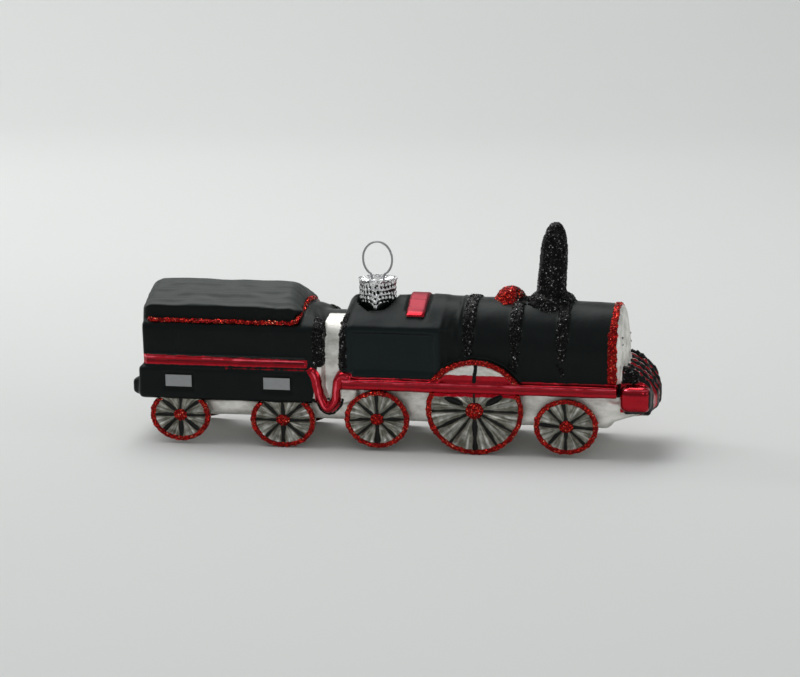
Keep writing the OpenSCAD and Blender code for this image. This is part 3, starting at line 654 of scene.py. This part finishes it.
for piece in (tender_piece, engine_piece):
    piece.data.materials.append(lacquer)
    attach(piece, "glass")
    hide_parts("glass_body")


# ---------------------------------------------------------------------------------------------
# Wheel faces: moulded in one with the glass, each a shallow dish with raised spokes. The dish is
# matt silver and fluted between the spokes, and the spokes are black strokes laid on by brush.
# ---------------------------------------------------------------------------------------------

def ring_faces(rows, turns):
    """Quads between rows of points, each row a closed ring."""
    i, j = np.meshgrid(np.arange(rows - 1), np.arange(turns), indexing="ij")
    k = (j + 1) % turns
    faces = np.stack([i * turns + j, i * turns + k, (i + 1) * turns + k, (i + 1) * turns + j], -1)
    return faces.reshape(-1, 4).tolist()


rim_wide, dish_in, dish_deep, flute_deep = 1.7, 0.42, 0.36, 0.16


def wheel_face(number, wheel, spokes, way):
    """One dished disc with its spokes: points, faces and what the paint needs to know."""
    x0, z0, radius, stretch_x, stretch_z, hub = wheel
    draw = np.random.default_rng(100 + 2 * number + (way > 0))
    rings = np.linspace(0, 1, int(radius * 4)) ** 0.9
    turns = spokes * 20
    far, turn = np.meshgrid(rings * (radius - 0.25), np.arange(turns) / turns * tau, indexing="ij")
    gap, painted = np.full(far.shape, 99.0), np.full(far.shape, -99.0)
    for k in range(spokes):
        slot = (k * 360 / spokes + 90) % 360
        if spokes == 12 and slot in (60, 120):              # hidden behind the footplate
            continue
        short = spokes == 12 and slot in (30, 150)
        lean, wide, phase = draw.normal(0, 0.05), draw.uniform(0.3, 0.5), draw.uniform(0, tau)
        centre = radians(slot) + lean * far / radius
        off = (turn - centre + pi) % tau - pi
        across = abs(off) * far + 20 * (abs(off) > 0.8)
        gap = np.minimum(gap, across)
        if short:
            swell = 1.1 * np.sqrt(np.clip(1 - ((far - 5.6) / 2.6) ** 2, 0, 1)) - 0.2
        else:
            swell = wide * (1 + 0.25 * np.sin(far * 1.1 + phase)) * (1.3 if slot == 270 else 1)
            swell = swell * np.clip((radius - 0.4 - far) / 1.2, 0, 1) ** 0.4
        painted = np.maximum(painted, swell - across)
    rim = np.clip((far - radius + rim_wide) / 0.7, 0, 1)
    hollow = 1 - np.exp(-(gap / 0.9) ** 2)
    reach = np.clip(far / radius * 1.7 - 0.35, 0, 1)
    flutes = np.cos((turn - pi / 2) * spokes * 3 + 0.5 * np.sin(far * 1.3 + number))
    streak = 0
    for waves in (19, 31, 47, 68):
        streak = streak + np.sin(turn * waves + draw.uniform(0, tau) + far * draw.normal(0, 0.35))
    height = face_y - dish_in + 0.34 * np.maximum(rim, np.exp(-(gap / 0.45) ** 2))
    height -= dish_deep * hollow * np.sin(np.clip(far / (radius - 1), 0, 1) * pi)
    height += (flute_deep * flutes + 0.05 * streak) * hollow * reach * (1 - rim)
    height[-1] = face_y - 1.7                               # the edge turns in
    spots = np.stack([x0 + stretch_x * far * np.cos(turn), way * height,
                      z0 + stretch_z * far * np.sin(turn)], -1)
    spots = spots.reshape(-1, 3)
    faces = ring_faces(len(rings), turns)[turns:]           # the innermost row is one point, so
    faces += [[turns + a, turns + (a + 1) % turns, 0] for a in range(turns)]    # it takes triangles
    lid = (skirt_bottom if x0 < tender_front else plate_low) + 0.6   # above it, other glass covers it
    faces = [f if way < 0 else f[::-1] for f in faces if spots[f, 2].min() < lid]
    fields = {"stroke": np.minimum(painted, far - 0.3).reshape(-1),
              "red": spots[:, 2] - plate_low + 1.0 if spokes == 12 else np.full(len(spots), -9.0),
              "shade": (hollow * (0.6 + 0.4 * flutes * reach)).reshape(-1),
              "streak": (streak * np.clip(far / 3, 0, 1) / 2).reshape(-1)}
    return spots, faces, fields


face_points, face_faces = [], []
face_fields = {"stroke": [], "red": [], "shade": [], "streak": []}
spoke_counts = [8, 8, 8, 12, 8]
for number, wheel in enumerate(wheels):
    for way in (-1, 1):
        pts, faces, fields = wheel_face(number, wheel, spoke_counts[number], way)
        start = sum(len(p) for p in face_points)
        face_points.append(pts)
        face_faces += [[v + start for v in f] for f in faces]
        for key in face_fields:
            face_fields[key].append(fields[key])
faces_piece = make_mesh("moulded_wheel_faces", np.concatenate(face_points), face_faces,
                        {k: np.concatenate(v) for k, v in face_fields.items()})
wheel_paint = Paint("wheel_lacquer")
wobble = (wheel_paint.noise(1.3, 3, 0.6) - 0.5) * 0.5
on_stroke = (wheel_paint.held("stroke") + wobble).above(0, 0.12)
on_red = (wheel_paint.held("red") + wobble * 2).above(0, 0.2)
# Painted shade on the silver: darker next to the spokes and in the flutes' valleys, with dark streaks
# across the dish
painted_streak_shade = wheel_paint.noise(2.2, 4, 0.6) + wheel_paint.held("streak") * 0.1
tone = wheel_paint.mix(wheel_paint.held("shade"), (0.20, 0.19, 0.15), (0.88, 0.87, 0.83))
tone = wheel_paint.mix(painted_streak_shade.above(0.46, 0.34), tone, (0.14, 0.135, 0.105))
tone = wheel_paint.mix(on_red, tone, (0.42, 0.002, 0.012))
tone = wheel_paint.mix(on_stroke, tone, (0.004, 0.005, 0.004))
faces_piece.data.materials.append(wheel_paint.set(
    Base_Color=tone, Metallic=(1 - on_stroke) * 0.25 + 0.6,
    Roughness=wheel_paint.noise(2, 3) * 0.14 + 0.26,
    Normal=wheel_paint.bump(on_stroke + wheel_paint.noise(1.2, 3) * 0.6, 0.09, 0.7)))
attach(faces_piece, "glass")


# ---------------------------------------------------------------------------------------------
# Glitter: coarse foil flakes shaken over wet clear glue that was laid on by nozzle in beads and
# bands. Each coat is a lumpy skin of glue with flakes that stand out of it at all angles.
# ---------------------------------------------------------------------------------------------

def foil_paint(name, stops, rough):
    """Foil whose tone differs from flake to flake."""
    foil = Paint(name)
    tint = foil.node("ShaderNodeValToRGB", {"stops": stops}, [foil.held("tint")], "Color")
    grain = foil.noise(0.35, 1)
    colour = foil.mix(grain.above(0.45, 0.4) * 0.35, tint, (0.01, 0.006, 0.005))
    return foil.set(Base_Color=colour, Metallic=0.85, Roughness=rough,
                    Normal=foil.bump(foil.noise(0.5, 2), 0.05, 0.5))


foils = {
    "red_glitter": foil_paint("red_glitter_foil", [
        (0.0, (0.06, 0.001, 0.001)), (0.3, (0.46, 0.004, 0.006)), (0.6, (0.86, 0.018, 0.014)),
        (0.85, (1.0, 0.08, 0.035)), (1.0, (1.0, 0.46, 0.28))], 0.26),
    "black_glitter": foil_paint("black_glitter_foil", [
        (0.0, (0.002, 0.002, 0.002)), (0.62, (0.010, 0.011, 0.011)), (0.84, (0.07, 0.072, 0.072)),
        (1.0, (0.62, 0.63, 0.63))], 0.28)}
flakes_a_square_mm, flake_size, flake_thick = 8, 0.34, 0.03


def flakes_on(points, faces, keep, seed):
    """Thin square flakes sown over a skin: points, quads and a tint for each."""
    draw = np.random.default_rng(seed)
    corners = points[faces]
    across = np.cross(corners[:, 2] - corners[:, 0], corners[:, 3] - corners[:, 1]) / 2
    area = np.linalg.norm(across, axis=1)
    area = area * keep(corners.mean(1))
    count = int(area.sum() * flakes_a_square_mm)
    pick = draw.choice(len(faces), count, p=area / area.sum())
    u, v = draw.uniform(0, 1, (2, count, 1))
    c = corners[pick]
    spot = (c[:, 0] * (1 - u) + c[:, 1] * u) * (1 - v) + (c[:, 3] * (1 - u) + c[:, 2] * u) * v
    up = across[pick] / np.linalg.norm(across[pick], axis=1, keepdims=True)
    up = up + draw.normal(0, 0.42, up.shape)
    up /= np.linalg.norm(up, axis=1, keepdims=True)
    one = np.cross(up, draw.normal(0, 1, up.shape))
    one /= np.linalg.norm(one, axis=1, keepdims=True)
    two = np.cross(up, one)
    half_size = flake_size * draw.uniform(0.35, 0.62, (count, 1))
    corners8 = [spot + a * one * half_size + b * two * half_size + h * up * flake_thick
                for h in (-1, 1) for a, b in ((-1, -0.8), (1, -0.8), (1, 0.8), (-1, 0.8))]
    flake_points = np.stack(corners8, 1).reshape(-1, 3)
    box_faces = np.array([[3, 2, 1, 0], [4, 5, 6, 7], [0, 1, 5, 4], [1, 2, 6, 5], [2, 3, 7, 6],
                          [3, 0, 4, 7]])
    flake_faces = (np.arange(count)[:, None, None] * 8 + box_faces).reshape(-1, 4)
    tint = np.repeat(draw.beta(1.6, 1.5, count), 8)
    return flake_points, flake_faces, tint


def glitter(name, node, slot, coats, seed):
    """One glitter piece from (field, coat form, glass form under it) rows."""
    all_points, all_faces, all_tints, start = [], [], [], 0
    for number, (field, form, under) in enumerate(coats):
        def bare(spots):
            return (field.at(under, spots) > 0.02).astype(float)

        points, faces, _ = field.skin(form)
        for part_points, part_faces, tint in [
                (points, faces, np.full(len(points), 0.12)),
                flakes_on(points, faces, bare, seed * 50 + number)]:
            all_points.append(part_points)
            all_faces.append(part_faces + start)
            all_tints.append(tint)
            start += len(part_points)
    piece = make_mesh(name, np.concatenate(all_points), np.concatenate(all_faces),
                      {"tint": np.concatenate(all_tints)}, smooth=False)
    piece.data.materials.append(foils[slot])
    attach(piece, "glass")
    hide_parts(node)


lumps = 0.07 * body.ripple(1.7, 5, 10) + 0.04 * body.ripple(0.9, 6, 8)
ragged = 0.35 * body.ripple(1.5, 7, 10)


coat_thick = 0.24


def coated(name, node, slot, zone, seed, uneven=1.0):
    """A glitter piece that coats the glass wherever the zone is below 0."""
    form = rounded(0.25, glass - coat_thick - lumps, zone + ragged * uneven, -glass - 0.45)
    glitter(name, node, slot, [(body, form, glass)], seed)


def bead(line, radius):
    """A bead of glue along a line of points."""
    nearest = 1e9
    for a, b in zip(line, line[1:]):
        a, b = Vector(a), Vector(b)
        d = b - a
        along = np.clip(((X - a.x) * d.x + (Y - a.y) * d.y + (Z - a.z) * d.z) / d.length_squared, 0, 1)
        nearest = np.minimum(nearest, np.sqrt((X - a.x - d.x * along) ** 2 + (Y - a.y - d.y * along) ** 2
                                              + (Z - a.z - d.z * along) ** 2))
    return nearest - radius


edge_z, edge_y = 32.1, coal_half + 0.75
edge_line = [(coal_front - 0.2, 0, 36.2)]
for way in (-1, 1):
    edge = [(coal_front - 0.2, way * 3.5, 35.8), (coal_front - 0.4, way * 7, 34.8),
            (coal_front - 0.7, way * 10.4, 33.5), (coal_front - 1.0, way * edge_y, 32.5),
            (coal_front - 2.4, way * edge_y, edge_z), (coal_back + 2.2, way * edge_y, edge_z),
            (coal_back + 1.2, way * 9.6, 32.2)]
    edge_line = edge[::-1] + edge_line if way < 0 else edge_line + edge
edge_form = rounded(0.2, bead(edge_line, 0.5) - lumps - ragged * 0.4, -glass - 0.6)
glitter("coal_edge_beads", "coal_edge_glitter", "red_glitter", [(body, edge_form, glass)], seed=1)

front_band = rounded(0.5, tank_front - 2.5 - X, X - tank_front - 0.3, 21.2 - Z, 7.8 - side)
coated("tender_front_bands", "tender_front_glitter", "black_glitter", front_band, seed=2)
rear_band = rounded(0.5, cab_back - 1.3 - X, X - cab_back - 1.2, 21.0 - Z, 6.5 - side)
coated("cab_rear_bands", "cab_rear_glitter", "black_glitter", rear_band, seed=3)
fade = np.clip((30 - Z) / 7, 0, 1.7)                     # the bands thin out down the boiler's side
patches = 0.9 * body.ripple(1.6, 8, 12) * np.clip(fade, 0, 1)
barrel_bands = reduce(np.minimum, [abs(X - b) - 1.5 + 0.75 * fade for b in bands]) + patches
off_guard = arch_r + 0.6 - np.hypot(X - driver_x, Z - arch_z)
barrel_bands = rounded(0.4, barrel_bands, 20 - Z, 10 - np.hypot(Y, Z - boiler_z), off_guard)
coated("boiler_bands", "boiler_band_glitter", "black_glitter", barrel_bands, seed=4)
ring_wide = 2.5 - 0.9 * np.clip((Z - 30) / 8, 0, 1)                # it is narrower over the top
ring = rounded(0.4, plate_front - ring_wide - X, X - plate_front + 0.1, plate_high + 0.2 - Z,
               9 - np.hypot(Y, Z - boiler_z))
coated("smokebox_ring", "smokebox_ring_glitter", "red_glitter", ring, seed=5, uneven=0.35)
dome_zone = rounded(0.5, dome - 0.5, boiler_top - 1.6 - Z)
coated("dome_coat", "dome_glitter", "red_glitter", dome_zone, seed=6)
chimney_zone = rounded(0.5, np.hypot(X - chimney_x + 0.4, Y) - 6.2, boiler_top - 3 - Z)
coated("chimney_coat", "chimney_glitter", "black_glitter", chimney_zone, seed=7)
arch_zone = rounded(0.3, abs(np.hypot(X - driver_x, Z - arch_z) - arch_r + 0.75) - 0.7,
                    face_y - 0.8 - side, plate_high + 0.1 - Z)
arch_form = rounded(0.25, arch_zone + ragged * 0.3, side - face_y - 0.35 - lumps)
glitter("splasher_arches", "splasher_glitter", "red_glitter",
        [(body, arch_form, side - face_y + 0.05)], seed=8)
pilot_patch = rounded(0.4, plate_front + 1.2 - X, X - plate_front - 5.2, 18.9 - Z,
                      abs(side - pilot_half + 1.0) - 1.2)
coated("pilot_patches", "pilot_glitter", "black_glitter", pilot_patch, seed=9)

rims, hub_coats = [], []
for number, (x0, z0, radius, stretch_x, stretch_z, hub) in enumerate(wheels):
    for way in (-1, 1):
        near_y, far_y = sorted((way * (face_y - 1.3), way * (face_y + 0.9)))
        local = Field((x0 - radius * stretch_x, near_y, z0 - radius * stretch_z),
                      (x0 + radius * stretch_x, far_y, z0 + radius * stretch_z), 0.3)
        out = local.y * way
        far = np.hypot((local.x - x0) / stretch_x, (local.z - z0) / stretch_z)
        lump = 0.10 * local.ripple(1.5, 20 + number, 8)
        lid = skirt_bottom if x0 < tender_front else plate_low
        rim = rounded(0.3, abs(far - radius + 0.68) - 0.6 - lump, face_y - 1.0 - out,
                      out - face_y - 0.3 - lump, local.z - lid)
        rims.append((local, rim, out - face_y + 0.1 + 0 * far))
        button = np.sqrt(far ** 2 + ((out - face_y + 0.7) * 1.5) ** 2) - hub
        button = rounded(0.2, button - lump, face_y - 0.7 - out)
        hub_coats.append((local, button, out - face_y + 0.3 + 0 * far))
glitter("wheel_rims", "wheel_rim_glitter", "red_glitter", rims, seed=10)
glitter("wheel_hubs", "wheel_hub_glitter", "red_glitter", hub_coats, seed=11)


# ---------------------------------------------------------------------------------------------
# Side plates: four blank rectangles of thin satin foil, stuck flat on the tender's skirt.
# ---------------------------------------------------------------------------------------------

foil = Paint("plain_plate_foil")
sheen = foil.noise(1.4, 3, 0.5, (1, 1, 4))
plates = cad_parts["side_plates"]
plates.data.materials.clear()
plates.data.materials.append(foil.set(
    Base_Color=foil.mix(sheen, (0.25, 0.256, 0.262), (0.375, 0.38, 0.387)), Metallic=0.5,
    Roughness=sheen * 0.2 + 0.35, Normal=foil.bump(foil.noise(0.8, 2), 0.04, 0.4)))


# ---------------------------------------------------------------------------------------------
# Cap: thin bright tinplate pressed to a cup, its side crimped in fine pleats, its top edge
# frilled and its lower edge cut in pointed scallops. It springs over the glass neck.
# ---------------------------------------------------------------------------------------------

def cap_mesh():
    pleats, scallops, turns, rows = 32, 5, 380, 38
    angle = np.arange(turns) / turns * tau
    height = cap_high.z - cap_low.z
    draw = np.random.default_rng(40)
    crush = [(draw.integers(5, 30), draw.uniform(0, tau), draw.uniform(0.3, 1)) for _ in range(9)]

    def shell(out):
        rings = []
        for r in range(rows + 1):
            s = r / rows
            arch = abs(((angle * scallops / tau + 0.222) % 1) - 0.5) * 2
            cut = 2.0 * np.sqrt(np.clip(1 - (arch / 0.86) ** 2, 0, 1))
            z = cap_low.z + cut * (1 - s) ** 1.5 + height * s
            wave = 0.4 * np.cos(angle * pleats + 0.8 * np.sin(s * 9) + 0.5 * np.sin(angle * 5))
            diamonds = np.cos(angle * 15 + 15 * s + np.sin(angle * 5)) * np.cos(angle * 15 - 16 * s + 1)
            wave += 1.2 * diamonds
            crumple = sum(a * np.sin(angle * k + p + s * 14 * a) for k, p, a in crush) / 6
            bulge = 0.10 * np.sin(s * pi * 2.2 + 1)
            flare = 0.3 * np.clip((s - 0.86) / 0.14, 0, 1) - 0.2 * np.clip(1 - s / 0.3, 0, 1)
            radius = cap_r - 0.5 + out + 0.16 * wave * (0.6 + 0.4 * np.sin(s * pi) ** 0.5) \
                + 0.22 * crumple + bulge * 0.6 + flare
            z = z + 0.26 * np.cos(angle * 24 + 0.6) * np.clip((s - 0.8) / 0.2, 0, 1)
            radius = np.minimum(radius, cap_r - 0.01 + 0 * angle)
            z = np.minimum(z, cap_high.z - 0.01)
            rings.append(np.stack([neck_x + radius * np.cos(angle), radius * np.sin(angle), z], -1))
        for q in range(1, 13):                                     # the crumpled top
            t = 1 - q / 12.5
            z = cap_high.z - 0.35 - 0.25 * (1 - t) + 0.10 * np.sin(angle * 9 + t * 8) * t \
                + 0.12 * np.cos(angle * 17 + 2 + t * 5) * t
            radius = (cap_r - 0.45 + out) * t
            rings.append(np.stack([neck_x + radius * np.cos(angle), radius * np.sin(angle),
                                   z + out], -1))
        return rings

    outer = shell(0.0)
    inner = shell(-0.18)[::-1]
    rings = inner + outer
    points = np.concatenate(rings)
    count = len(rings)
    faces = ring_faces(count, turns)
    faces.append(list(range(turns))[::-1])
    faces.append([(count - 1) * turns + a for a in range(turns)])
    return points, faces


cap_piece = make_mesh("crimped_cap", *cap_mesh())
tin = Paint("bright_tinplate")
dirt = tin.noise(1.2, 4, 0.6)
cap_piece.data.materials.append(tin.set(
    Base_Color=tin.mix(dirt.above(0.55, 0.3), (0.86, 0.86, 0.87), (0.60, 0.60, 0.61)), Metallic=1.0,
    Roughness=dirt * 0.16 + 0.14, Normal=tin.bump(tin.noise(0.8, 2, 0.5), 0.16, 1.0)))
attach(cap_piece, "cap")
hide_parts("ornament_cap")


# ---------------------------------------------------------------------------------------------
# Hanger: one length of drawn spring steel, bent to an oval loop by hand, with two sprung legs
# that go down through the cap and press outward on the inside of the neck.
# ---------------------------------------------------------------------------------------------

wire_low, wire_high = place("hanger_wire")
wire_r = wire_high.y
leg_x = 1.5
loop_rx, loop_rz = 4.05 - wire_r, 4.75 - wire_r
loop_z = wire_high.z - loop_rz - wire_r
start = np.arcsin(leg_x / loop_rx)
turn = np.linspace(0, 1, 60)
swing = -pi / 2 - start - turn * (tau - 2 * start)
loop = np.stack([loop_rx * np.cos(swing) * (1 - 0.02 * np.sin(swing * 2)),
                 0.05 * np.sin(swing * 3), loop_z + loop_rz * np.sin(swing)], -1)
leg = np.array([(leg_x + 0.85, 0, wire_low.z + 0.1), (leg_x + 0.4, 0, wire_low.z + 2.5),
                (leg_x, 0, cap_high.z - 2.4), (leg_x, 0, cap_high.z - 0.6)])
path = np.concatenate([leg * (-1, 1, 1), loop[1:-1], leg[::-1]]) + (neck_x, 0, 0)
dense = curved(path, 3)
ahead = np.gradient(dense, axis=0)
ahead /= np.linalg.norm(ahead, axis=1, keepdims=True)
across = np.cross(ahead, (0, 1, 0))
ring_turns = 16
wire_points = np.concatenate([
    dense[i] + wire_r * 0.97 * (np.cos(a) * across[i] + np.sin(a) * np.array([0, 1, 0]))
    for i in range(len(dense)) for a in [np.arange(ring_turns)[:, None] / ring_turns * tau]])
wire_faces = ring_faces(len(dense), ring_turns)
wire_faces += [list(range(ring_turns))[::-1],
               [(len(dense) - 1) * ring_turns + a for a in range(ring_turns)]]
wire_piece = make_mesh("bent_wire_hanger", wire_points, wire_faces)
steel = Paint("spring_steel")
draw_marks = steel.noise(0.9, 3, 0.6)
wire_piece.data.materials.append(steel.set(
    Base_Color=steel.mix(draw_marks, (0.30, 0.30, 0.31), (0.46, 0.46, 0.47)), Metallic=1.0,
    Roughness=draw_marks * 0.15 + 0.22, Normal=steel.bump(steel.noise(0.3, 2), 0.02, 0.4)))
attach(wire_piece, "hanger")
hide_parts("hanger_wire")


# ---------------------------------------------------------------------------------------------
# Studio: a pale floor that sweeps up behind, a broad soft light overhead, and the camera.
# ---------------------------------------------------------------------------------------------

def sweep_floor():
    """A floor that curves up into a backdrop, in metres."""
    profile = [(-1.6, 0), (0.6, 0)]
    profile += [(0.6 + 0.5 * sin(a), 0.5 - 0.5 * cos(a)) for a in np.linspace(0.1, pi / 2, 14)]
    profile.append((1.1, 2.2))
    pts = [(x, y, z) for y, z in profile for x in (-2.2, 2.2)]
    faces = [(2 * n, 2 * n + 1, 2 * n + 3, 2 * n + 2) for n in range(len(profile) - 1)]
    mesh = bpy.data.meshes.new("studio_floor")
    mesh.from_pydata(pts, [], faces)
    mesh.polygons.foreach_set("use_smooth", [True] * len(mesh.polygons))
    floor = bpy.data.objects.new("studio_floor", mesh)
    bpy.context.collection.objects.link(floor)
    return floor


floor = sweep_floor()
paper = Paint("pale_paper")
paper_tone = paper.mix(paper.noise(300, 2), (0.66, 0.665, 0.655), (0.70, 0.705, 0.695))
floor.data.materials.append(paper.set(Base_Color=paper_tone, Roughness=0.85))


def soft_light(name, where, aim, size, power, tone=(1, 1, 1)):
    lamp = bpy.data.lights.new(name, "AREA")
    lamp.shape, lamp.size, lamp.size_y = "RECTANGLE", *size
    lamp.energy, lamp.color = power, tone
    holder = bpy.data.objects.new(name, lamp)
    holder.location = where
    holder.rotation_euler = (Vector(aim) - Vector(where)).to_track_quat("-Z", "Y").to_euler()
    bpy.context.collection.objects.link(holder)


soft_light("overhead", (-0.22, 0.18, 0.8), (0, 0, 0), (0.9, 0.5), 4.8)
soft_light("front_fill", (0.35, -1.1, 0.7), (0, 0, 0.02), (0.4, 0.3), 0.9)
soft_light("side_glow", (-0.8, 0.3, 0.5), (-0.4, 1.0, 0.2), (0.5, 0.5), 3.4)
soft_light("right_glow", (0.9, -0.25, 0.35), (0.06, 0, 0.03), (0.3, 0.3), 0.5)
world = bpy.data.worlds.new("studio_air")
world.use_nodes = True
world.node_tree.nodes["Background"].inputs["Color"].default_value = (0.86, 0.90, 0.90, 1)
world.node_tree.nodes["Background"].inputs["Strength"].default_value = 0.42
bpy.context.scene.world = world

turn, lift, roll = radians(11.5), radians(12.5), radians(-0.8)
distance, aim, focal, image_width = 0.59, Vector((0.0009, 0, 0.0264)), 2301, 800
back = Vector((sin(turn) * cos(lift), -cos(turn) * cos(lift), sin(lift)))
right = Vector((cos(turn), sin(turn), 0))
up = back.cross(right)
right, up = right * cos(roll) + up * sin(roll), up * cos(roll) - right * sin(roll)
lens = bpy.data.cameras.new("camera")
lens.sensor_width, lens.sensor_fit = 36, "HORIZONTAL"
lens.lens = focal / image_width * lens.sensor_width
lens.clip_start = 0.01
camera = bpy.data.objects.new("camera", lens)
spin = Matrix((right, up, back)).transposed().to_4x4()
camera.matrix_world = Matrix.Translation(aim + back * distance) @ spin
bpy.context.collection.objects.link(camera)
bpy.context.scene.camera = camera
bpy.context.scene.view_settings.view_transform = "Standard"
